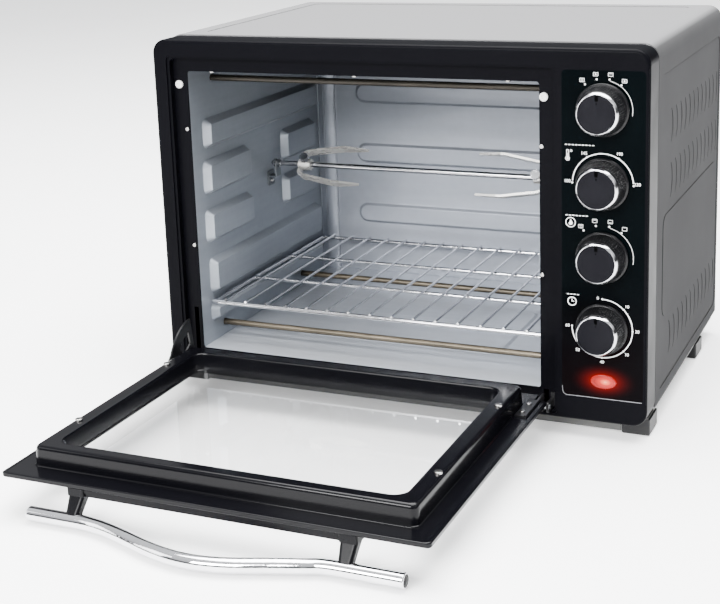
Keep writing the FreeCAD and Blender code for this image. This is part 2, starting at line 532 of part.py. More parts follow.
for s, name in ((-1, "handle_post_left"), (1, "handle_post_right")):
    x = POST_MID + s * POST_X
    post = Part.makeLoft([wire(x - 7.5, x + 7.5, -318.0, -304.5, 3, STRIP_Z, "z"),
                          wire(x - 5.5, x + 5.5, BAR_Y - 6.0, BAR_Y + 6.0, 3.5, BAR_Z + 1, "z")],
                         True, True)
    post = post.fuse(rbox(x - 8, x + 8, -318.5, -300, STRIP_Z, DOOR_OUT, 1.5, "z"))
    post = post.cut(bar)
    save(name, post.removeSplitter())
strip = box(POST_MID - POST_X + 8, POST_MID + POST_X - 8, -317.0, -300, STRIP_Z, DOOR_OUT)
strip = strip.cut(box(POST_MID - POST_X, POST_MID + POST_X, -320, -316.0, 0, STRIP_Z + 3.5))
save("handle_strip", strip)

# ---------------------------------------------------------------- door screws
screws = [screw((x, y, RING_TOP), (0, 0, 1), r=3.4, shank_r=1.6, shank=18.0) for x, y in DOOR_SCREWS]
screws += [screw((x, y, DOOR_IN + 1.5), (0, 0, 1), r=2.6, head=1.0, shank_r=1.6, shank=1.5)
           for x, y in ARM_SCREWS]
screws += [mirror_x(screw((x, y, DOOR_IN + 1.5), (0, 0, 1), r=2.6, head=1.0, shank_r=1.6, shank=1.5))
           for x, y in ARM_SCREWS]
save("door_screws", screws)

# ---------------------------------------------------------------- control panel and lamp
panel = rbox(PANEL[0], PANEL[1], 0, PANEL_T, PANEL[2], PANEL[3], 4, "y")
panel = panel.cut([cyl((KNOB_X, -1, z), "y", 5.6, 5) for z in KNOB_Z.values()])
panel = panel.cut(lamp_prism(0.1, -1, 8))
save("control_panel", panel)
lens = lamp_prism(0.0, -1.4, PANEL_T + 2)
rim = [e for e in lens.Edges if all(abs(v.Point.y + 1.4) < 1e-6 for v in e.Vertexes)]
lens = lens.makeFillet(1.2, rim)
save("lamp_lens", lens)
save("lamp_body", rbox(LAMP[0] - 16, LAMP[0] + 16, PANEL_T + 2, 22, LAMP[1] - 10, LAMP[1] + 10, 3, "y"))

# ---------------------------------------------------------------- knobs, shafts, switches
for name, z in KNOB_Z.items():
    profile = [(SHAFT_R, -18.5), (SHAFT_R, -3.0), (6.5, -3.0), (6.5, -16.0), (18.0, -16.0),
               (21.0, -1.2), (KNOB_R, -1.2), (KNOB_R, -4.2), (22.0, -5.0), (19.8, -20.5),
               (19.2, -21.0), (17.6, -21.0), (17.6, -19.5), (0.0, -19.5), (0.0, -18.5)]
    pts = [V(r, y, 0) for r, y in profile]
    grip = Part.Face(Part.makePolygon(pts + [pts[0]])).revolve(V(0, 0, 0), V(0, 1, 0), 360)
    flutes = []
    for k in range(36):
        a = math.radians(10 * k)
        at = V(21.4 * math.cos(a), -5.4, 21.4 * math.sin(a))
        flutes.append(Part.makeCylinder(0.9, 20, at, V(0, -1, 0)))
    grip = grip.cut(flutes)
    grip.translate(V(KNOB_X, 0, z))
    save("knob_" + name, grip)
    trim = [(0.0, -19.5), (17.5, -19.5), (17.5, -21.0), (19.2, -21.0), (19.2, -23.4), (18.4, KNOB_FRONT),
            (16.4, KNOB_FRONT), (15.8, -23.6), (0.0, -23.6)]
    pts = [V(r, y, 0) for r, y in trim]
    disc = Part.Face(Part.makePolygon(pts + [pts[0]])).revolve(V(0, 0, 0), V(0, 1, 0), 360)
    disc = disc.cut(box(-0.9, 0.9, -30, -22.6, 11.5, 24))
    disc.translate(V(KNOB_X, 0, z))
    save("knob_trim_" + name, disc)
    save("shaft_" + name, cyl((KNOB_X, -18.5, z), "y", SHAFT_R, 35.5))

SWITCHES = {"selector": ("selector_switch", 20, 17, 24), "temperature": ("thermostat", 22, 22, 24),
            "function": ("function_switch", 20, 17, 24), "timer": ("timer_movement", 28, 27, 50)}
for key, (name, hx, hz, depth) in SWITCHES.items():
    z = KNOB_Z[key]
    y0 = PANEL_T + 2
    body = rbox(KNOB_X - hx, KNOB_X + hx, y0, y0 + depth, z - hz, z + hz, 4, "y")
    body = body.fuse(cyl((KNOB_X, -0.6, z), "y", 5.2, y0 + 0.6))
    body = body.cut(cyl((KNOB_X, -1, z), "y", SHAFT_R + RUN, 19))
    tabs = [box(KNOB_X - 6 + k * 8, KNOB_X - 2 + k * 8, y0 + depth, y0 + depth + 7, z - 0.4, z + 0.4)
            for k in range(-1, 2)]
    save(name, body.fuse(tabs).removeSplitter())

# ---------------------------------------------------------------- small body pieces
fix = [screw((x, RECESS_Y, z), (0, -1, 0), r=2.0, head=1.4, shank=3.0) for x, z in SIDE_SCREWS]
fix += [screw((x, y, CAV_Z1), (0, 0, -1), r=2.6, head=1.8, shank=1.0) for x, y in LIP_SCREWS]
fix.append(screw(SUPPORT_SCREW, (1, 0, 0), r=2.5, head=1.5, shank=SHEET))
fix += [screw((x, CASE_BACK, z), (0, 1, 0), shank=1.2) for x, z in REAR_SCREWS]
save("body_screws", fix)
bumpers = []
for x in (DOOR_X - 191, DOOR_X + 186.5):
    b = Part.makeCylinder(4.0, 2.0, V(x, RECESS_Y, 302.5), V(0, -1, 0))
    bumpers.append(b.makeFillet(0.8, [e for e in b.Edges if abs(e.CenterOfMass.y - RECESS_Y + 2) < 1e-6
                                      and e.Curve.TypeId == "Part::GeomCircle"]))
save("door_bumpers", bumpers)

spacers = []
for x in (-160.0, 160.0):
    s = rbox(x - 11, x + 11, CASE_BACK, CASE_BACK + SPACER, 196, 214, 3, "y")
    spacers.append(s.cut(cyl((x, CASE_BACK + 3, 205), "y", 5, 20)))
save("wall_spacers", spacers)
inlet = cyl((INLET[0], CASE_BACK - 10, INLET[1]), "y", 7.0, 10).fuse(
    [cyl((INLET[0], CASE_BACK, INLET[1]), "y", 10.0, 3),
     cyl((INLET[0], CASE_BACK - 5, INLET[1]), "y", 9.0, 3.8),
     Part.makeCone(8.0, 6.2, 8, V(INLET[0], CASE_BACK + 3, INLET[1]), V(0, 1, 0))])
inlet = inlet.cut(cyl((INLET[0], CASE_BACK - 20, INLET[1]), "y", 3.6, 60)).removeSplitter()
save("power_inlet", inlet)
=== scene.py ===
"""Looks of the rotisserie oven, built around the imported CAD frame. Lengths are in metres."""
import math

import bpy
import bmesh
from mathutils import Matrix, Vector


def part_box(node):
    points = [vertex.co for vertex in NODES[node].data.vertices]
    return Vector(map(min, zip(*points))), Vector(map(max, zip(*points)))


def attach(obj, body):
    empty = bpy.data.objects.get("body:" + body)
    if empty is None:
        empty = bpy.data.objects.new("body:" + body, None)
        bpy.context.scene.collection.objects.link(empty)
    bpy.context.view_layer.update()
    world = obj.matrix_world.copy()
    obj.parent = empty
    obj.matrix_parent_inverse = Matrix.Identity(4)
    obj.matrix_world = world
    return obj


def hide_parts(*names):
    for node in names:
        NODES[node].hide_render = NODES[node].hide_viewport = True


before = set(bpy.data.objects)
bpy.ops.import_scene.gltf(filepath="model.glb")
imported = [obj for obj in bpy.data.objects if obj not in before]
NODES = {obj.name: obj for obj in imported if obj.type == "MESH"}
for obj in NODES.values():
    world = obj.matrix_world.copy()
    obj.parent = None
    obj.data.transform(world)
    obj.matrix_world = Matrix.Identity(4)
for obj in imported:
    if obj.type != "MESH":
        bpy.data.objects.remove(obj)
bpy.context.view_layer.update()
MM = 0.001
TOP_PAINTED_LIGHT = 3.0        # how much paler the casing's top is painted than its sides, as painted light
TOP_BAND = 0.004      # the height over which that paint changes
WALL_SHADE_BAND = (0.13, 0.33)    # heights between which the cavity walls darken with painted shade


# ------------------------------------------------------------------ material building
class Mat:
    """A node material around one Principled shader, fed from object coordinates."""

    def __init__(self, name, color, metallic=0.0, rough=0.4, **sockets):
        self.m = bpy.data.materials.new(name)
        self.m.use_nodes = True
        self.t = self.m.node_tree
        self.p = self.t.nodes["Principled BSDF"]
        self.p.inputs["Base Color"].default_value = (*color, 1)
        self.p.inputs["Metallic"].default_value = metallic
        self.p.inputs["Roughness"].default_value = rough
        for key, value in sockets.items():
            self.p.inputs[key.replace("_", " ")].default_value = value
        self.coord = self.t.nodes.new("ShaderNodeTexCoord").outputs["Object"]
        self.height = None

    def node(self, kind, **values):
        n = self.t.nodes.new(kind)
        for key, value in values.items():
            if hasattr(n, key):
                setattr(n, key, value)
            else:
                n.inputs[key].default_value = value
        return n

    def link(self, a, b):
        self.t.links.new(a, b)

    def place(self, scale=(1, 1, 1), shift=(0, 0, 0)):
        n = self.node("ShaderNodeMapping")
        n.inputs["Scale"].default_value = scale
        n.inputs["Location"].default_value = shift
        self.link(self.coord, n.inputs["Vector"])
        return n.outputs["Vector"]

    def noise(self, scale, detail=4.0, rough=0.55, stretch=(1, 1, 1)):
        n = self.node("ShaderNodeTexNoise", Scale=scale, Detail=detail, Roughness=rough)
        self.link(self.place(stretch), n.inputs["Vector"])
        return n.outputs["Fac"]

    def cells(self, scale, feature="F1", output="Distance", stretch=(1, 1, 1)):
        n = self.node("ShaderNodeTexVoronoi", Scale=scale, feature=feature)
        self.link(self.place(stretch), n.inputs["Vector"])
        return n.outputs[output]

    def remap(self, value, low, high, to_low, to_high):
        n = self.node("ShaderNodeMapRange")
        n.clamp = True
        limits = {"From Min": low, "From Max": high, "To Min": to_low, "To Max": to_high}
        for key, v in limits.items():
            n.inputs[key].default_value = v
        self.link(value, n.inputs["Value"])
        return n.outputs["Result"]

    def math(self, op, a, b=None, clamp=False):
        n = self.node("ShaderNodeMath", operation=op)
        n.use_clamp = clamp
        for i, v in enumerate((a, b)):
            if v is None:
                continue
            if isinstance(v, (int, float)):
                n.inputs[i].default_value = v
            else:
                self.link(v, n.inputs[i])
        return n.outputs[0]

    def ramp(self, value, stops):
        n = self.node("ShaderNodeValToRGB")
        e = n.color_ramp.elements
        while len(e) < len(stops):
            e.new(0.5)
        for el, (at, c) in zip(e, stops):
            el.position = at
            el.color = (*c, 1)
        self.link(value, n.inputs["Fac"])
        return n.outputs["Color"]

    def mix(self, factor, a, b, mode="MIX"):
        n = self.node("ShaderNodeMix", data_type="RGBA", blend_type=mode)
        ins = [i for i in n.inputs if i.type == "RGBA"]
        for sock, v in ((n.inputs[0], factor), (ins[0], a), (ins[1], b)):
            if isinstance(v, (int, float)):
                sock.default_value = v
            elif isinstance(v, tuple):
                sock.default_value = (*v, 1)
            else:
                self.link(v, sock)
        return [o for o in n.outputs if o.type == "RGBA"][0]

    def set(self, socket, value):
        self.link(value, self.p.inputs[socket])
        return self

    def soft_edges(self, radius):
        """Rounds the pressed edges' shading a little, as a press tool does."""
        n = self.node("ShaderNodeBevel", samples=6)
        n.inputs["Radius"].default_value = radius
        self.height = n.outputs["Normal"]
        return self

    def bump(self, value, strength, distance):
        n = self.node("ShaderNodeBump", Strength=strength, Distance=distance)
        self.link(value, n.inputs["Height"])
        if self.height is not None:
            self.link(self.height, n.inputs["Normal"])
        self.height = n.outputs["Normal"]
        self.link(self.height, self.p.inputs["Normal"])
        return self

    def split(self):
        n = self.node("ShaderNodeSeparateXYZ")
        self.link(self.coord, n.inputs[0])
        return n.outputs

    def far(self, point, stretch=(1, 1, 1)):
        """Distance from a point in the row frame, each axis scaled."""
        n = self.node("ShaderNodeVectorMath", operation="LENGTH")
        shift = tuple(-p * s for p, s in zip(point, stretch))
        self.link(self.place(stretch, shift), n.inputs[0])
        return n.outputs["Value"]


def shade(c, k):
    return tuple(min(1.0, v * k) for v in c)


def powder_coat(name, color, rough, grain=0.35, metallic=0.0, scale=900.0, painted_light_above=None,
                **sockets):
    """Baked paint: fine orange peel with faint drifts of tone. Above the height painted_light_above the
    colour is TOP_PAINTED_LIGHT times paler, which stands in for the light that the photo's top catches."""
    m = Mat(name, color, metallic, rough, **sockets)
    drift = m.noise(9.0, 3.0)
    speck = m.noise(scale * 1.7, 2.0)
    tone = m.ramp(drift, [(0.3, shade(color, 0.93)), (0.7, shade(color, 1.07))])
    if painted_light_above:
        upper = m.remap(m.split()[2], painted_light_above - TOP_BAND, painted_light_above, 0.0, 1.0)
        tone = m.mix(upper, tone, shade(color, TOP_PAINTED_LIGHT))
    m.set("Base Color", m.mix(m.remap(speck, 0.35, 0.7, 0.0, 0.12), tone, shade(color, 1.6)))
    m.set("Roughness", m.remap(m.noise(24.0, 5.0), 0.3, 0.7, rough * 0.92, rough * 1.1))
    m.bump(m.noise(scale, 3.0), grain, 0.00006)
    return m.m


def sheet_steel(name, color, rough, stretch, spangle=0.25, metallic=0.9, top_shade=1.0):
    """Rolled, coated steel: long faint rolling lines over soft cloudy spangle. top_shade is the
    tone at the top of the cavity, which stands in for the shadow that the photo shows there."""
    m = Mat(name, color, metallic, rough).soft_edges(0.0016)
    lines = m.noise(60.0, 6.0, 0.6, stretch)
    cloud = m.noise(11.0, 4.0)
    cell = m.cells(150.0, "SMOOTH_F1")
    base = m.ramp(cloud, [(0.25, shade(color, 0.9)), (0.75, shade(color, 1.08))])
    base = m.mix(m.remap(cell, 0.0, 0.9, 0.0, spangle), base, shade(color, 1.25))
    base = m.mix(m.remap(lines, 0.35, 0.65, 0.0, 0.2), base, shade(color, 0.8))
    if top_shade < 1.0:
        upper = m.remap(m.split()[2], *WALL_SHADE_BAND, 0.0, 1.0)
        base = m.mix(upper, base, (top_shade, top_shade, top_shade), "MULTIPLY")
    m.set("Base Color", base)
    m.set("Roughness", m.remap(lines, 0.3, 0.7, rough * 0.82, rough * 1.25))
    m.bump(lines, 0.12, 0.0001)
    m.bump(m.noise(5.0, 2.0), 0.2, 0.0012)
    return m.m


def polished(name, color, rough, scale=260.0, stretch=(1, 1, 1), blemish=0.04, metallic=1.0):
    """Plated metal: mirror finish with the faintest drawing marks and haze."""
    m = Mat(name, color, metallic, rough)
    haze = m.noise(scale * 0.2, 5.0)
    marks = m.noise(scale, 4.0, 0.6, stretch)
    m.set("Base Color", m.ramp(haze, [(0.3, shade(color, 0.94)), (0.7, shade(color, 1.03))]))
    m.set("Roughness", m.remap(marks, 0.35, 0.75, rough * 0.7, rough * 1.6))
    m.bump(marks, blemish, 0.00003)
    return m.m


def moulded(name, color, rough, scale=1400.0, grain=0.3, **sockets):
    """Moulded plastic with a fine spark-eroded texture."""
    m = Mat(name, color, 0.0, rough, **sockets)
    grainy = m.noise(scale, 2.0)
    m.set("Base Color", m.ramp(m.noise(30.0, 4.0), [(0.3, shade(color, 0.9)),
                                                    (0.7, shade(color, 1.15))]))
    m.set("Roughness", m.remap(grainy, 0.3, 0.7, rough * 0.85, rough * 1.15))
    m.bump(grainy, grain, 0.00005)
    return m.m


def paint(node, material):
    """Gives a CAD node its finish."""
    me = NODES[node].data
    me.materials.clear()
    me.materials.append(material)


# ------------------------------------------------------------------ finishes
# The casing's top is painted paler than its sides: painted light on the top.
casing_paint = powder_coat("casing_paint", (0.045, 0.045, 0.046), 0.5, Specular_IOR_Level=0.0,
                           painted_light_above=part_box("outer_casing")[1].z - MM)
frame_paint = powder_coat("frame_paint", (0.0014, 0.0014, 0.0021), 0.34, grain=0.15,
                          Specular_IOR_Level=0.02)
base_paint = powder_coat("base_paint", (0.05, 0.05, 0.048), 0.45)
# The side and back walls are painted darker towards the top: painted shade.
liner_x = sheet_steel("liner_side_steel", (0.29, 0.315, 0.35), 0.42, (1, 0.06, 1), metallic=0.55,
                      top_shade=0.45)
liner_y = sheet_steel("liner_back_steel", (0.28, 0.30, 0.34), 0.42, (0.06, 1, 1), metallic=0.5,
                      top_shade=0.36)
# The liner is one steel: the floor's copy is painted paler as painted light, the top's copy far
# darker as painted shade.
liner_floor_lit = sheet_steel("liner_floor_steel_lit", (0.46, 0.485, 0.525), 0.36, (0.06, 1, 1), metallic=0.6)
liner_top = sheet_steel("liner_top_steel_shaded", (0.12, 0.13, 0.14), 0.4, (0.06, 1, 1))
chrome = polished("chrome_plate", (0.62, 0.62, 0.64), 0.1)
chrome_x = polished("chrome_bar", (0.66, 0.66, 0.68), 0.05, stretch=(0.05, 1, 1))
stainless = polished("stainless_strip", (0.50, 0.49, 0.47), 0.3, stretch=(0.1, 1, 1), blemish=0.15,
                     metallic=0.75)
spit_steel = polished("spit_steel", (0.34, 0.34, 0.35), 0.14, stretch=(0.05, 1, 1))
arm_black = powder_coat("arm_black", (0.004, 0.004, 0.0045), 0.32, grain=0.1,
                        Specular_IOR_Level=0.2)
zinc = polished("zinc_plate", (0.42, 0.43, 0.45), 0.28, blemish=0.2)
screw_steel = polished("screw_steel", (0.36, 0.35, 0.34), 0.2, blemish=0.2)
enamel = powder_coat("door_enamel", (0.0014, 0.0014, 0.002), 0.16, grain=0.1, scale=420.0,
                     Specular_IOR_Level=0.11)
post_black = moulded("post_plastic", (0.002, 0.002, 0.0026), 0.25, grain=0.1,
                     Specular_IOR_Level=0.07)
black_plastic = moulded("black_plastic", (0.008, 0.008, 0.0085), 0.5, Specular_IOR_Level=0.25)
# Black used only for painted shade: behind the louvres and along the side creases.
painted_shade_black = moulded("painted_shade_black", (0.003, 0.003, 0.003), 0.8, Specular_IOR_Level=0.1)
rubber = moulded("silicone", (0.62, 0.62, 0.60), 0.55, scale=700.0)
ceramic = moulded("ceramic", (0.6, 0.58, 0.52), 0.6, scale=900.0)
knob_plastic = moulded("knob_plastic", (0.0035, 0.0035, 0.004), 0.3, grain=0.2,
                       Specular_IOR_Level=0.16)
print_white = moulded("print_white", (0.80, 0.80, 0.80), 0.5, scale=2000.0, grain=0.1)
# A grey painted as the highlight on the control panel's lower edge.
highlight_grey = moulded("highlight_grey", (0.12, 0.12, 0.13), 0.35, grain=0.1)


def element_metal_shaded(name, k):
    """Sheathed heating rod: oxidised nickel steel with brown and straw heat tints."""
    # k darkens this copy of the rod finish as painted shade.
    m = Mat(name, shade((0.14, 0.115, 0.085), k), 0.75, 0.4)
    tint = m.noise(14.0, 5.0, 0.6, (1, 4, 4))
    m.set("Base Color", m.ramp(tint, [(0.25, shade((0.06, 0.05, 0.038), k)),
                                      (0.5, shade((0.15, 0.125, 0.09), k)),
                                      (0.75, shade((0.24, 0.20, 0.15), k))]))
    m.set("Roughness", m.remap(m.noise(300.0, 3.0), 0.3, 0.7, 0.32, 0.5))
    m.bump(m.noise(500.0, 3.0), 0.3, 0.00005)
    return m.m


MIRROR = 3.0          # the pane reflects this many times as strongly as plain glass


def window_glass():
    """Thin clear glass: reflection grows towards grazing angles, the rest passes through."""
    m = Mat("door_glass", (0.93, 0.95, 0.96), 1.0, 0.03)
    fres = m.node("ShaderNodeFresnel", IOR=1.5).outputs[0]
    smear = m.remap(m.noise(14.0, 4.0), 0.3, 0.7, 0.01, 0.04)
    front = m.math("SUBTRACT", 1.0, m.node("ShaderNodeNewGeometry").outputs["Backfacing"])
    seen = m.math("MULTIPLY", m.math("MULTIPLY", fres, MIRROR), front)
    m.set("Alpha", m.math("ADD", seen, smear, clamp=True))
    m.set("Roughness", m.remap(m.noise(30.0, 3.0), 0.3, 0.7, 0.02, 0.05))
    return m.m


LENS = [(a + b) / 2 for a, b in zip(*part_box("lamp_lens"))]


def panel_gloss():
    """Gloss black panel with the red light of the lamp behind it painted on as a glow."""
    m = Mat("panel_gloss", (0.0005, 0.0011, 0.0015), 0.0, 0.14, Specular_IOR_Level=0.006)
    m.set("Base Color", m.ramp(m.noise(18.0, 3.0), [(0.3, (0.0004, 0.0009, 0.0012)),
                                                   (0.7, (0.0007, 0.0015, 0.0019))]))
    m.set("Roughness", m.remap(m.noise(60.0, 3.0), 0.3, 0.7, 0.11, 0.18))
    # Painted light: the lamp's red glow on the panel round the lens.
    near = m.far(LENS, (1.0, 1.0, 1.75))
    core = m.math("POWER", m.remap(near, 0.006, 0.036, 1.0, 0.0), 3.4)
    wide = m.math("POWER", m.remap(near, 0.0, 0.20, 1.0, 0.0), 1.3)
    glow = m.mix(core, (0.011, 0.0009, 0.0003), (1.0, 0.022, 0.010))
    m.set("Emission Color", m.mix(wide, (0.0, 0.0, 0.0), glow))
    m.p.inputs["Emission Strength"].default_value = 0.75
    return m.m


def lamp_red():
    """Translucent red lens with the lamp's hot spot inside."""
    m = Mat("lamp_red", (0.10, 0.002, 0.002), 0.0, 0.16, Specular_IOR_Level=0.2)
    near = m.far((LENS[0] + 0.002, LENS[1], LENS[2]), (1.0, 0.3, 1.7))
    m.set("Emission Color", m.ramp(m.remap(near, 0.0, 0.0135, 0.0, 1.0),
                                   [(0.0, (1.0, 0.55, 0.30)), (0.16, (1.0, 0.20, 0.09)),
                                    (0.40, (0.45, 0.016, 0.008)), (0.75, (0.16, 0.004, 0.002)),
                                    (1.0, (0.22, 0.006, 0.003))]))
    m.p.inputs["Emission Strength"].default_value = 2.6
    m.bump(m.noise(700.0, 2.0), 0.15, 0.0001)
    return m.m


for node, material in {
    "outer_casing": casing_paint, "rear_panel": casing_paint, "front_frame": frame_paint,
    "base_plate": base_paint, "liner_left": liner_x, "liner_right": liner_x, "liner_back": liner_y,
    "liner_top": liner_top, "liner_floor": liner_floor_lit, "spit_support": liner_top,
    "element_insulators": ceramic, "wire_rack": chrome, "handle_bar": chrome_x,
    "spit_rod": spit_steel, "fork_left": stainless, "fork_right": stainless,
    "thumbscrew_left": chrome, "thumbscrew_right": chrome, "drive_socket": zinc,
    "door_outer_frame": enamel, "door_inner_frame": enamel, "handle_post_left": post_black,
    "handle_post_right": post_black, "hinge_arm_left": arm_black, "hinge_arm_right": arm_black,
    "hinge_brackets": arm_black, "hinge_pins": zinc, "body_screws": screw_steel,
    "door_screws": screw_steel,
    "lamp_body": black_plastic, "wall_spacers": black_plastic, "power_inlet": black_plastic,
    "feet": black_plastic, "selector_switch": black_plastic, "function_switch": black_plastic,
    "thermostat": black_plastic, "timer_movement": zinc, "gear_motor": zinc, "door_bumpers": rubber,
}.items():
    paint(node, material)
# Each level's rods get their own copy, painted darker as painted shade; the upper rods far darker.
for level, tone in (("lower", 0.6), ("upper", 0.1)):
    rod = element_metal_shaded("element_sheath_" + level, tone)
    for place in ("front", "rear"):
        paint("%s_element_%s" % (level, place), rod)
paint("door_glass", window_glass())
paint("control_panel", panel_gloss())
paint("lamp_lens", lamp_red())
for key in ("selector", "temperature", "function", "timer"):
    paint("shaft_" + key, zinc)
paint("handle_strip", post_black)


# ------------------------------------------------------------------ mesh building
def add(name, bm, material, body, sharp=35.0, stands_for=()):
    """Turns a bmesh into a piece that rides on a body."""
    bmesh.ops.recalc_face_normals(bm, faces=bm.faces)
    for f in bm.faces:
        f.smooth = True
    for e in bm.edges:
        e.smooth = len(e.link_faces) == 2 and e.calc_face_angle(0) < math.radians(sharp)
    me = bpy.data.meshes.new(name)
    bm.to_mesh(me)
    bm.free()
    me.materials.append(material)
    o = bpy.data.objects.new(name, me)
    bpy.context.scene.collection.objects.link(o)
    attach(o, body)
    if stands_for:
        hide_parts(*stands_for)
    return o


def lathe(bm, centre, profile, steps=96, ripple=None):
    """Turns a profile of (radius, y) about the axis along Y through centre. Ends on the axis
    close by themselves. ripple(angle, radius, y) gives a change of radius."""
    rings = []
    for rad, y in profile:
        if rad < 1e-7:
            rings.append([bm.verts.new((centre[0], y, centre[1]))])
            continue
        ring = []
        for k in range(steps):
            a = 2 * math.pi * k / steps
            rr = rad + (ripple(a, rad, y) if ripple else 0.0)
            x, z = centre[0] + rr * math.sin(a), centre[1] + rr * math.cos(a)
            ring.append(bm.verts.new((x, y, z)))
        rings.append(ring)
    for a, b in zip(rings, rings[1:]):
        n = max(len(a), len(b))
        for k in range(n):
            quad = [a[k % len(a)], a[(k + 1) % len(a)], b[(k + 1) % len(b)], b[k % len(b)]]
            face = []
            for v in quad:
                if v not in face:
                    face.append(v)
            if len(face) > 2:
                bm.faces.new(face)


def slab(bm, outline, y0, y1):
    """A flat shape given by (x, z) points, between two depths."""
    front = [bm.verts.new((x, y0, z)) for x, z in outline]
    back = [bm.verts.new((x, y1, z)) for x, z in outline]
    bm.faces.new(front)
    bm.faces.new(back[::-1])
    for i in range(len(outline)):
        j = (i + 1) % len(outline)
        bm.faces.new((front[i], back[i], back[j], front[j]))


# ------------------------------------------------------------------ knobs
PANEL_LO, PANEL_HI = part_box("control_panel")
FACE = PANEL_LO.y


def knob_cap():
    """Black cap with a fine grain and a soft satin bloom."""
    m = Mat("knob_cap", (0.004, 0.004, 0.0056), 0.0, 0.42, Specular_IOR_Level=0.035)
    m.set("Base Color", m.ramp(m.noise(40.0, 4.0), [(0.3, (0.0028, 0.0028, 0.0041)),
                                                   (0.7, (0.0046, 0.0046, 0.0060))]))
    m.set("Roughness", m.remap(m.noise(900.0, 3.0), 0.3, 0.7, 0.36, 0.48))
    m.bump(m.noise(1100.0, 2.0), 0.3, 0.00005)
    return m.m


cap_black = knob_cap()
# Near-black for the knob's pointer notch: painted shade.
pointer_shade = moulded("pointer_groove_shade", (0.0006, 0.0006, 0.0006), 0.8, Specular_IOR_Level=0.005)
ring_chrome = polished("knob_ring_chrome", (0.62, 0.62, 0.64), 0.10)


def knob(key):
    lo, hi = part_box("knob_" + key)
    trim_lo, trim_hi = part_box("knob_trim_" + key)
    c = ((lo.x + hi.x) / 2, (lo.z + hi.z) / 2)
    skirt, back, front = (hi.x - lo.x) / 2, hi.y, trim_lo.y
    body = key + "_knob"

    def knurl(a, rad, y):
        on = 1.0 if front + 5.2 * MM < y < back - 5.0 * MM else 0.0
        return -0.32 * MM * on * (0.5 - 0.5 * math.cos(a * 60)) ** 2

    bm = bmesh.new()
    lathe(bm, c, [(0, back), (skirt - 0.3 * MM, back), (skirt, back - 0.3 * MM),
                  (skirt, back - 2.2 * MM), (skirt - 0.5 * MM, back - 2.9 * MM),
                  (skirt - 1.5 * MM, back - 3.3 * MM), (skirt - 1.8 * MM, back - 3.9 * MM),
                  (skirt - 1.9 * MM, back - 4.8 * MM), (skirt - 2.0 * MM, back - 5.2 * MM),
                  (skirt - 2.8 * MM, back - 9 * MM), (skirt - 3.95 * MM, front + 5.4 * MM),
                  (skirt - 4.05 * MM, front + 5.0 * MM), (skirt - 4.2 * MM, front + 3.8 * MM),
                  (skirt - 4.8 * MM, front + 3.1 * MM), (0, front + 3.1 * MM)],
          steps=480, ripple=knurl)
    add("grip_" + key, bm, knob_plastic, body, stands_for=("knob_" + key,))

    rim = skirt - 4.8 * MM
    bm = bmesh.new()
    lathe(bm, c, [(rim - 2.3 * MM, front + 3.4 * MM), (rim - 0.2 * MM, front + 3.4 * MM),
                  (rim, front + 3.1 * MM), (rim, front + 2.5 * MM),
                  (rim - 0.2 * MM, front + 2.0 * MM), (rim - 0.8 * MM, front + 1.0 * MM),
                  (rim - 1.3 * MM, front + 0.32 * MM), (rim - 1.55 * MM, front + 0.1 * MM),
                  (rim - 1.8 * MM, front),
                  (rim - 2.05 * MM, front + 0.15 * MM), (rim - 2.2 * MM, front + 0.6 * MM),
                  (rim - 2.3 * MM, front + 3.4 * MM)], steps=144)
    add("ring_" + key, bm, ring_chrome, body, stands_for=("knob_trim_" + key,))

    disc = rim - 2.15 * MM
    bm = bmesh.new()
    lathe(bm, c, [(0, front + 0.55 * MM), (disc * 0.5, front + 0.62 * MM),
                  (disc - 1.2 * MM, front + 0.8 * MM), (disc - 0.3 * MM, front + 1.0 * MM),
                  (disc, front + 1.4 * MM), (disc, front + 3.0 * MM), (0, front + 3.0 * MM)],
          steps=144)
    add("cap_" + key, bm, cap_black, body)

    # The pointer notch and its dot are near-black marks on the cap: painted shade of the notch.
    bm = bmesh.new()
    w, top, foot = 1.35 * MM, disc - 0.2 * MM, disc - 5.6 * MM
    slab(bm, [(c[0] - w, c[1] + foot), (c[0] + w, c[1] + foot), (c[0] + w * 1.25, c[1] + top),
              (c[0] - w * 1.25, c[1] + top)], front + 0.5 * MM, front + 1.6 * MM)
    lathe(bm, (c[0], c[1] + foot - 2.2 * MM), [
        (0, front + 0.45 * MM), (0.7 * MM, front + 0.5 * MM), (0.75 * MM, front + 1.2 * MM),
        (0, front + 1.2 * MM)], steps=24)
    add("pointer_" + key, bm, pointer_shade, body)
    return c


CENTRE = {key: knob(key) for key in ("selector", "temperature", "function", "timer")}


# ------------------------------------------------------------------ panel print
INK = 0.06 * MM


def at(c, radius, degrees):
    a = math.radians(degrees)
    return c[0] + radius * MM * math.sin(a), c[1] + radius * MM * math.cos(a)


def dot(bm, x, z, r, steps=20):
    turns = [2 * math.pi * k / steps for k in range(steps)]
    slab(bm, [(x + r * MM * math.cos(a), z + r * MM * math.sin(a)) for a in turns],
         FACE - INK, FACE)


def band(bm, c, radius, wide, a0, a1):
    """An arc of a ring, angles clockwise from the top."""
    n = max(4, int(abs(a1 - a0) / 4))
    angles = [a0 + (a1 - a0) * k / n for k in range(n + 1)]
    for p, q in zip(angles, angles[1:]):
        inner, outer = radius - wide / 2, radius + wide / 2
        slab(bm, [at(c, inner, p), at(c, outer, p), at(c, outer, q), at(c, inner, q)],
             FACE - INK, FACE)


def bar(bm, x, z, wide, high):
    w, h = wide / 2 * MM, high / 2 * MM
    slab(bm, [(x - w, z - h), (x + w, z - h), (x + w, z + h), (x - w, z + h)], FACE - INK, FACE)


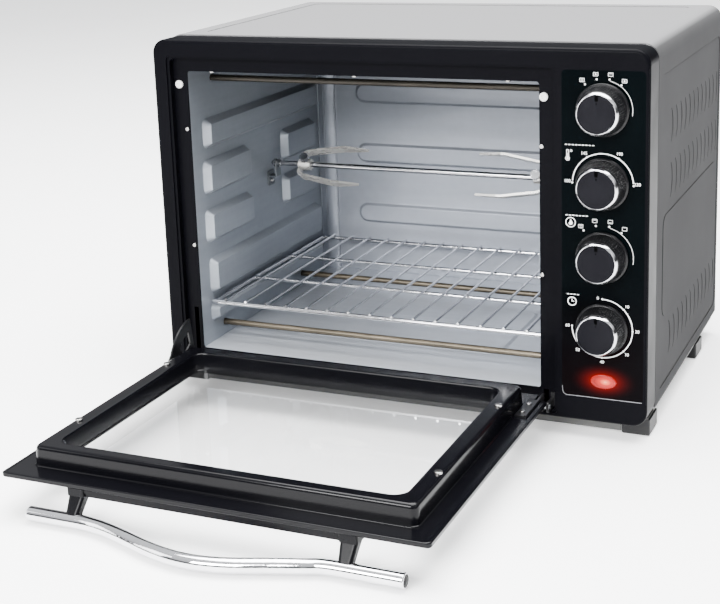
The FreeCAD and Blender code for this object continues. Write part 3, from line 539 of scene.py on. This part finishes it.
def frame_icon(bm, x, z, fill):
    """A small oven symbol: a box outline with up to two bars in it."""
    w, h, t = 4.4, 3.4, 0.34
    for s in (-1, 1):
        bar(bm, x, z + s * (h - t) / 2 * MM, w, t)
        bar(bm, x + s * (w - t) / 2 * MM, z, t, h)
    if fill & 1:
        bar(bm, x, z + 0.75 * MM, 2.5, 0.32)
    if fill & 2:
        bar(bm, x, z - 0.75 * MM, 2.5, 0.32)
    if fill & 4:
        dot(bm, x, z, 0.7)


def number(text, x, z, size=4.0):
    curve = bpy.data.curves.new("number", "FONT")
    curve.body, curve.size, curve.align_x, curve.align_y = text, size * MM, "CENTER", "CENTER"
    curve.extrude = INK / 2
    o = bpy.data.objects.new("number", curve)
    me = bpy.data.meshes.new_from_object(o)
    bpy.data.objects.remove(o)
    turn = Matrix.Translation((x, FACE - INK / 2, z)) @ Matrix.Rotation(math.radians(90), 4, "X")
    me.transform(turn)
    return me


def print_piece(name, draw, numbers=()):
    bm = bmesh.new()
    draw(bm)
    for text, x, z in numbers:
        bm.from_mesh(number(text, x, z))
    add(name, bm, print_white, "oven")


def rule(bm, x0, x1, z):
    """A heading drawn as a row of short dashes."""
    x = x0
    while x < x1:
        bar(bm, x, z, 2.0, 0.7)
        x += 3.1 * MM


def positions(key, radius, icons):
    c = CENTRE[key]

    def draw(bm):
        for a, fill in zip((-36, -12, 12, 36), icons):
            dot(bm, *at(c, radius, a), 0.85)
            x, z = at(c, radius + 4.6, a)
            frame_icon(bm, x, z, fill)
        band(bm, c, radius - 1.2, 0.35, 14, 100)
    return draw


def temperature_print(bm):
    c = CENTRE["temperature"]
    band(bm, c, 27.6, 0.9, -86, -33)
    band(bm, c, 27.6, 0.9, -29, 29)
    band(bm, c, 27.6, 0.9, 33, 86)
    for a in (-90, -31, 31, 90):
        dot(bm, *at(c, 27.8, a), 0.85)
    x, z = c[0] - 32.0 * MM, c[1] + 25.5 * MM
    band(bm, (x, z - 3.6 * MM), 1.7, 0.5, 0, 360)
    dot(bm, x, z - 3.6 * MM, 1.0)
    for s in (-1, 1):
        bar(bm, x + s * 0.9 * MM, z + 1.2 * MM, 0.45, 6.4)
    bar(bm, x, z + 4.4 * MM, 1.8, 0.45)
    bar(bm, x, z - 1.0 * MM, 0.5, 4.0)
    band(bm, (x + 3.2 * MM, z + 3.6 * MM), 0.8, 0.4, 0, 360)
    rule(bm, c[0] - 33.5 * MM, c[0] - 6.0 * MM, c[1] + 34.6 * MM)


def flame_print(bm):
    c = CENTRE["function"]
    x, z = c[0] - 29.3 * MM, c[1] + 30.6 * MM
    band(bm, (x, z), 4.4, 0.6, 0, 360)
    slab(bm, [(x + u * MM, z + w * MM) for u, w in (
        (0, 3.0), (0.9, 1.3), (1.8, -0.2), (1.6, -1.6), (0.7, -2.4), (-0.7, -2.4), (-1.6, -1.6),
        (-1.5, -0.3), (-0.9, 0.4))], FACE - INK, FACE)
    rule(bm, c[0] - 33.0 * MM, c[0] - 13.0 * MM, c[1] + 37.2 * MM)


def timer_print(bm):
    c = CENTRE["timer"]
    for k in range(6):
        band(bm, c, 27.9, 0.9, 45 * k + 2.2, 45 * k + 42.8)
    for k in range(7):
        dot(bm, *at(c, 28.0, 45 * k), 0.85)
    x, z = c[0] - 28.0 * MM, c[1] + 23.6 * MM
    band(bm, (x, z), 3.9, 0.8, 0, 360)
    bar(bm, x, z + 1.2 * MM, 0.6, 2.6)
    bar(bm, x + 0.9 * MM, z, 2.0, 0.6)
    rule(bm, c[0] - 31.8 * MM, c[0] - 20.5 * MM, c[1] + 30.3 * MM)


print_piece("print_selector", positions("selector", 27.6, (3, 4, 1, 4)))
print_piece("print_function", positions("function", 29.4, (3, 1, 2, 0)))
print_piece("print_flame", flame_print)
tc, mc = CENTRE["temperature"], CENTRE["timer"]
print_piece("print_temperature", temperature_print, [
    ("100", tc[0] - 32.3 * MM, tc[1] + 1.2 * MM), ("145", tc[0] - 17.0 * MM, tc[1] + 27.2 * MM),
    ("190", tc[0] + 15.0 * MM, tc[1] + 28.0 * MM), ("230", tc[0] + 31.0 * MM, tc[1] + 1.2 * MM)])
print_piece("print_timer", timer_print, [("0", *at(mc, 28.8, -8))] + [
    (str(10 * k), *at(mc, 32.2, 45 * k)) for k in range(1, 7)])


# ------------------------------------------------------------------ loops and tubes
def rounded(x0, x1, y0, y1, r, steps=6):
    """The points of a rounded rectangle, anticlockwise from its lower left corner's start."""
    pts = []
    for cx, cy, a0 in ((x0 + r, y0 + r, 180), (x1 - r, y0 + r, 270), (x1 - r, y1 - r, 0),
                       (x0 + r, y1 - r, 90)):
        for k in range(steps + 1):
            a = math.radians(a0 + 90 * k / steps)
            pts.append((cx + r * math.cos(a), cy + r * math.sin(a)))
    return pts


def loops(bm, rows, closed=True):
    """Bridges rows of points, each a closed loop of the same count."""
    rings = [[bm.verts.new(p) for p in row] for row in rows]
    pairs = list(zip(rings, rings[1:]))
    if closed:
        pairs.append((rings[-1], rings[0]))
    for a, b in pairs:
        for k in range(len(a)):
            j = (k + 1) % len(a)
            bm.faces.new((a[k], a[j], b[j], b[k]))


def tube(bm, points, radius, closed=False, steps=8, flat=1.0):
    """A round bead along a path, its open ends closed by flat caps. flat squeezes it across its
    path.
    """
    pts = [Vector(p) for p in points]
    rings = []
    side = None
    for i, p in enumerate(pts):
        a = pts[i - 1] if (i or closed) else p
        b = pts[(i + 1) % len(pts)] if (closed or i + 1 < len(pts)) else p
        t = (b - a).normalized()
        if side is None:
            side = t.cross(Vector((0, 0, 1)) if abs(t.z) < 0.9 else Vector((1, 0, 0))).normalized()
        side = (side - t * side.dot(t)).normalized()
        up = t.cross(side)
        rings.append([bm.verts.new(p + side * radius * math.cos(2 * math.pi * k / steps)
                                   + up * radius * flat * math.sin(2 * math.pi * k / steps))
                      for k in range(steps)])
    count = len(rings) if closed else len(rings) - 1
    for i in range(count):
        a, b = rings[i], rings[(i + 1) % len(rings)]
        for k in range(steps):
            j = (k + 1) % steps
            bm.faces.new((a[k], a[j], b[j], b[k]))
    if not closed:
        bm.faces.new(rings[0])
        bm.faces.new(rings[-1][::-1])


# ------------------------------------------------------------------ door pressings
RING_LO, RING_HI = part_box("door_inner_frame")
GLASS_LO, GLASS_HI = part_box("door_glass")
OUT_LO, OUT_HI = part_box("door_outer_frame")
WINDOW = (GLASS_LO.x + 10.5 * MM, GLASS_HI.x - 10.5 * MM,
          GLASS_LO.y + 9.5 * MM, GLASS_HI.y - 10.0 * MM)


def door_ring():
    """The inner frame: drafted sides, rolled upper edges and a soft foot on the flange."""
    base, tall = RING_LO.z, (RING_HI.z - RING_LO.z) / MM
    outside = ((0.0, 0.0), (0.0, 0.35), (0.25, 0.8), (0.9, 1.3), (1.1, 6.0), (1.6, tall - 4.2),
               (1.9, tall - 2.6), (2.5, tall - 1.3), (3.5, tall - 0.45), (4.6, tall),
               (5.3, tall))
    inside = ((3.3, tall), (2.6, tall), (1.3, tall - 0.25), (0.5, tall - 0.9),
              (0.0, tall - 2.1), (0.0, 1.6), (-0.7, 0.9), (-0.7, 0.0))
    rows = []
    for inset, up in outside:
        d = inset * MM
        rows.append([(x, y, base + up * MM) for x, y in rounded(
            RING_LO.x + d, RING_HI.x - d, RING_LO.y + d, RING_HI.y - d, (7.5 - inset * 0.6) * MM)])
    for out, up in inside:
        d = out * MM
        rows.append([(x, y, base + up * MM) for x, y in rounded(
            WINDOW[0] - d, WINDOW[1] + d, WINDOW[2] - d, WINDOW[3] + d, (12.0 + out) * MM)])
    bm = bmesh.new()
    loops(bm, rows)
    add("door_ring", bm, enamel, "door", sharp=28.0,
        stands_for=("door_inner_frame",))


door_ring()


def edge_bead():
    """The rolled edge round the outer panel's free sides."""
    d, r, z = 1.7 * MM, 5.5 * MM, OUT_HI.z - 0.35 * MM
    x0, x1, y0, y1 = OUT_LO.x + d, OUT_HI.x - d, OUT_LO.y + d, OUT_HI.y - 20 * MM
    path = [(x0, y1 - 12 * MM * k) for k in range(24)]
    path += [(x0 + r - r * math.cos(a), y0 + r - r * math.sin(a)) for a in
             (math.radians(90 * k / 6) for k in range(7))]
    path += [(x0 + r + (x1 - x0 - 2 * r) * k / 30, y0) for k in range(1, 30)]
    path += [(x1 - r + r * math.sin(a), y0 + r - r * math.cos(a)) for a in
             (math.radians(90 * k / 6) for k in range(7))]
    path += [(x1, y1 - 12 * MM * k) for k in range(23, -1, -1)]
    bm = bmesh.new()
    tube(bm, [(x, y, z) for x, y in path], 1.5 * MM, steps=12, flat=0.5)
    add("door_edge_bead", bm, enamel, "door", sharp=60.0)


edge_bead()

# ------------------------------------------------------------------ handle ends
BAR_LO, BAR_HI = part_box("handle_bar")
BAR_TUBE = 6.5 * MM
bar_y, bar_z = BAR_HI.y - BAR_TUBE, (BAR_LO.z + BAR_HI.z) / 2


def bar_plugs():
    """Black plugs pressed into the bar's two ends."""
    bm = bmesh.new()
    for x, s in ((BAR_LO.x, -1), (BAR_HI.x, 1)):
        part = bmesh.new()
        lathe(part, (0, 0), [(rad * MM, up * MM) for rad, up in (
            (0, 0.55), (3.0, 0.5), (3.4, 0.25), (3.9, 0.25), (4.3, 0.45), (5.0, 0.3), (5.25, 0.0),
            (5.25, -1.0), (0, -1.0))], steps=40)
        for v in part.verts:
            v.co = Vector((x + s * v.co.y, bar_y + v.co.x, bar_z + v.co.z))
        me = bpy.data.meshes.new("plug")
        part.to_mesh(me)
        part.free()
        bm.from_mesh(me)
    add("handle_plugs", bm, post_black, "door")


bar_plugs()


# ------------------------------------------------------------------ casing details
CASE_LO, CASE_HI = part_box("outer_casing")
LINER_LO, LINER_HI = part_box("liner_back")


def louvre_shade_sheets():
    """Black sheets inside the casing behind the louvres: painted shade for what the louvres look
    onto.
    """
    for name, x, s in (("louvre_shade_left", CASE_LO.x, 1), ("louvre_shade_right", CASE_HI.x, -1)):
        bm = bmesh.new()
        y0, y1 = CASE_LO.y + 22 * MM, CASE_HI.y - 10 * MM
        z0, z1 = CASE_LO.z + 14 * MM, CASE_HI.z - 22 * MM
        rows = []
        for off, inset in ((1.9, 0.0), (2.9, 0.0), (2.9, 4.0), (3.4, 5.0)):
            rows.append([(x + s * off * MM, u, w) for u, w in rounded(
                y0 + inset * MM, y1 - inset * MM, z0 + inset * MM, z1 - inset * MM, 8 * MM)])
        loops(bm, rows, closed=False)
        bm.verts.ensure_lookup_table()
        n = len(rows[0])
        for start in (0, n * (len(rows) - 1)):
            bm.faces.new([bm.verts[start + k] for k in range(n)])
        add(name, bm, painted_shade_black, "oven")


louvre_shade_sheets()


def crease_shadows():
    """Painted shadow: black lines round each side field and the raised plateau in it, standing in
    for the shade of the pressed creases.
    """
    for name, x, s in (("crease_shadow_left", CASE_LO.x, 1), ("crease_shadow_right", CASE_HI.x, -1)):
        bm = bmesh.new()
        y, z = CASE_LO.y - 35.5 * MM, CASE_LO.z - 7.5 * MM
        for y0, y1, z0, z1, r, off in ((50, 336, 18, 318, 10, 0.25), (62, 324, 86, 184, 12, 0.45)):
            pts = rounded(y + y0 * MM, y + y1 * MM, z + z0 * MM, z + z1 * MM, r * MM, 8)
            tube(bm, [(x + s * off * MM, u, w) for u, w in pts], 0.55 * MM, closed=True, flat=0.44)
        add(name, bm, painted_shade_black, "oven", sharp=70.0)


crease_shadows()


def corner_seams():
    """Folded seams where the back liner wraps round the cavity's rear corners."""
    r = 17.2 * MM
    for name, side in (("seam_left", -1), ("seam_right", 1)):
        cx = (LINER_LO.x + 19 * MM) if side < 0 else (LINER_HI.x - 19 * MM)
        cy = LINER_HI.y - 19 * MM
        bm = bmesh.new()
        for a, wide in ((4, 1.0), (34, 0.8), (80, 0.9)):
            a = math.radians(a)
            x, y = cx + side * r * math.cos(a), cy + r * math.sin(a)
            z0, z1 = LINER_LO.z + 2 * MM, LINER_HI.z - 2 * MM
            tube(bm, [(x, y, z0 + (z1 - z0) * k / 12) for k in range(13)], wide * MM, steps=10)
        add(name, bm, liner_y, "oven", sharp=70.0)


corner_seams()


def bumper_pads():
    """Moulded stops with a dished middle."""
    lo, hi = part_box("door_bumpers")
    r = (hi.z - lo.z) / 2
    bm = bmesh.new()
    for x in (lo.x + r, hi.x - r):
        dish = [(r * part, lo.y + back * MM) for part, back in (
            (0, 0.7), (0.38, 0.7), (0.5, 0.1), (0.62, 0.0), (0.85, 0.1), (0.97, 0.5), (1.0, 1.0))]
        lathe(bm, (x, lo.z + r), dish + [(r, hi.y), (0, hi.y)], steps=40)
    add("bumper_pads", bm, rubber, "oven", stands_for=("door_bumpers",))


bumper_pads()


def panel_edge_highlight():
    """A grey line painted as the highlight where the control panel's lower edge meets the frame."""
    lo, hi = PANEL_LO, PANEL_HI
    y, z = FACE - 0.02 * MM, lo.z + 0.25 * MM
    path = [(lo.x + 0.3 * MM, lo.z + 9 * MM), (lo.x + 0.5 * MM, lo.z + 4 * MM),
            (lo.x + 1.6 * MM, lo.z + 1.5 * MM), (lo.x + 4 * MM, z)]
    path += [(lo.x + 4 * MM + (hi.x - lo.x - 5 * MM) * k / 20, z) for k in range(1, 21)]
    bm = bmesh.new()
    tube(bm, [(x, y, w) for x, w in path], 0.32 * MM)
    add("panel_edge_highlight_line", bm, highlight_grey, "oven", sharp=80.0)


panel_edge_highlight()

# ------------------------------------------------------------------ floor, light, camera
floor_mat = Mat("floor", (0.95, 0.95, 0.95), 0.0, 0.7)
floor_mat.p.inputs["Emission Color"].default_value = (1.0, 1.0, 1.0, 1)
floor_mat.p.inputs["Emission Strength"].default_value = 0.55
floor_mat.set("Roughness", floor_mat.remap(floor_mat.noise(3.0), 0.3, 0.7, 0.55, 0.65))
bm = bmesh.new()
bmesh.ops.create_grid(bm, x_segments=1, y_segments=1, size=6.0)
me = bpy.data.meshes.new("floor")
bm.to_mesh(me)
bm.free()
floor = bpy.data.objects.new("floor", me)
floor.location = (0, 0, -0.0004)
me.materials.append(floor_mat.m)
bpy.context.scene.collection.objects.link(floor)

world = bpy.data.worlds.new("studio")
bpy.context.scene.world = world
world.use_nodes = True
tree = world.node_tree
sky = tree.nodes.new("ShaderNodeTexCoord")
height = tree.nodes.new("ShaderNodeSeparateXYZ")
tree.links.new(sky.outputs["Generated"], height.inputs[0])
tone = tree.nodes.new("ShaderNodeValToRGB")
SKY = ((0.0, 0.05), (0.22, 0.07), (0.45, 0.75), (1.0, 1.0))    # height and brightness
while len(tone.color_ramp.elements) < len(SKY):
    tone.color_ramp.elements.new(0.5)
for stop, (where, level) in zip(tone.color_ramp.elements, SKY):
    stop.position = where
    stop.color = (level * 0.96, level * 0.98, level, 1)
tree.links.new(height.outputs["Z"], tone.inputs["Fac"])
tree.links.new(tone.outputs["Color"], tree.nodes["Background"].inputs[0])
tree.nodes["Background"].inputs[1].default_value = 1.6


def softbox(name, place, towards, size, power):
    data = bpy.data.lights.new(name, "AREA")
    data.shape = "RECTANGLE"
    data.size, data.size_y = size
    data.energy = power
    o = bpy.data.objects.new(name, data)
    o.location = place
    o.rotation_euler = (Vector(towards) - Vector(place)).to_track_quat("-Z", "Y").to_euler()
    bpy.context.scene.collection.objects.link(o)
    return o


softbox("overhead", (0.1, 0.2, 2.3), (0, 0, 0), (2.6, 2.2), 400)
softbox("front_top", (-0.3, -2.3, 1.25), (0, 0.1, 0.1), (1.3, 0.8), 170)
softbox("front_left", (-1.9, -1.4, 1.0), (0, 0, 0.15), (0.8, 1.2), 20)
softbox("right", (2.2, -0.7, 1.1), (0.1, 0, 0.15), (0.7, 1.2), 5)

CAMERA_AT = (0.52273, -1.23911, 0.53959)
cam_data = bpy.data.cameras.new("camera")
cam = bpy.data.objects.new("camera", cam_data)
bpy.context.scene.collection.objects.link(cam)
right = Vector((0.9125212504, 0.4073876336, -0.0366098830))
down = Vector((0.0612878990, -0.2246748145, -0.9725045127))
ahead = Vector((-0.4044116308, 0.8851872930, -0.2299884544))
cam.matrix_world = Matrix((
    (right.x, -down.x, -ahead.x, CAMERA_AT[0]), (right.y, -down.y, -ahead.y, CAMERA_AT[1]),
    (right.z, -down.z, -ahead.z, CAMERA_AT[2]), (0, 0, 0, 1)))
cam_data.sensor_width = 36.0
cam_data.lens = 72.73
cam_data.shift_x = 0.0217
cam_data.shift_y = -0.1469
cam_data.clip_start = 0.05
bpy.context.scene.camera = cam
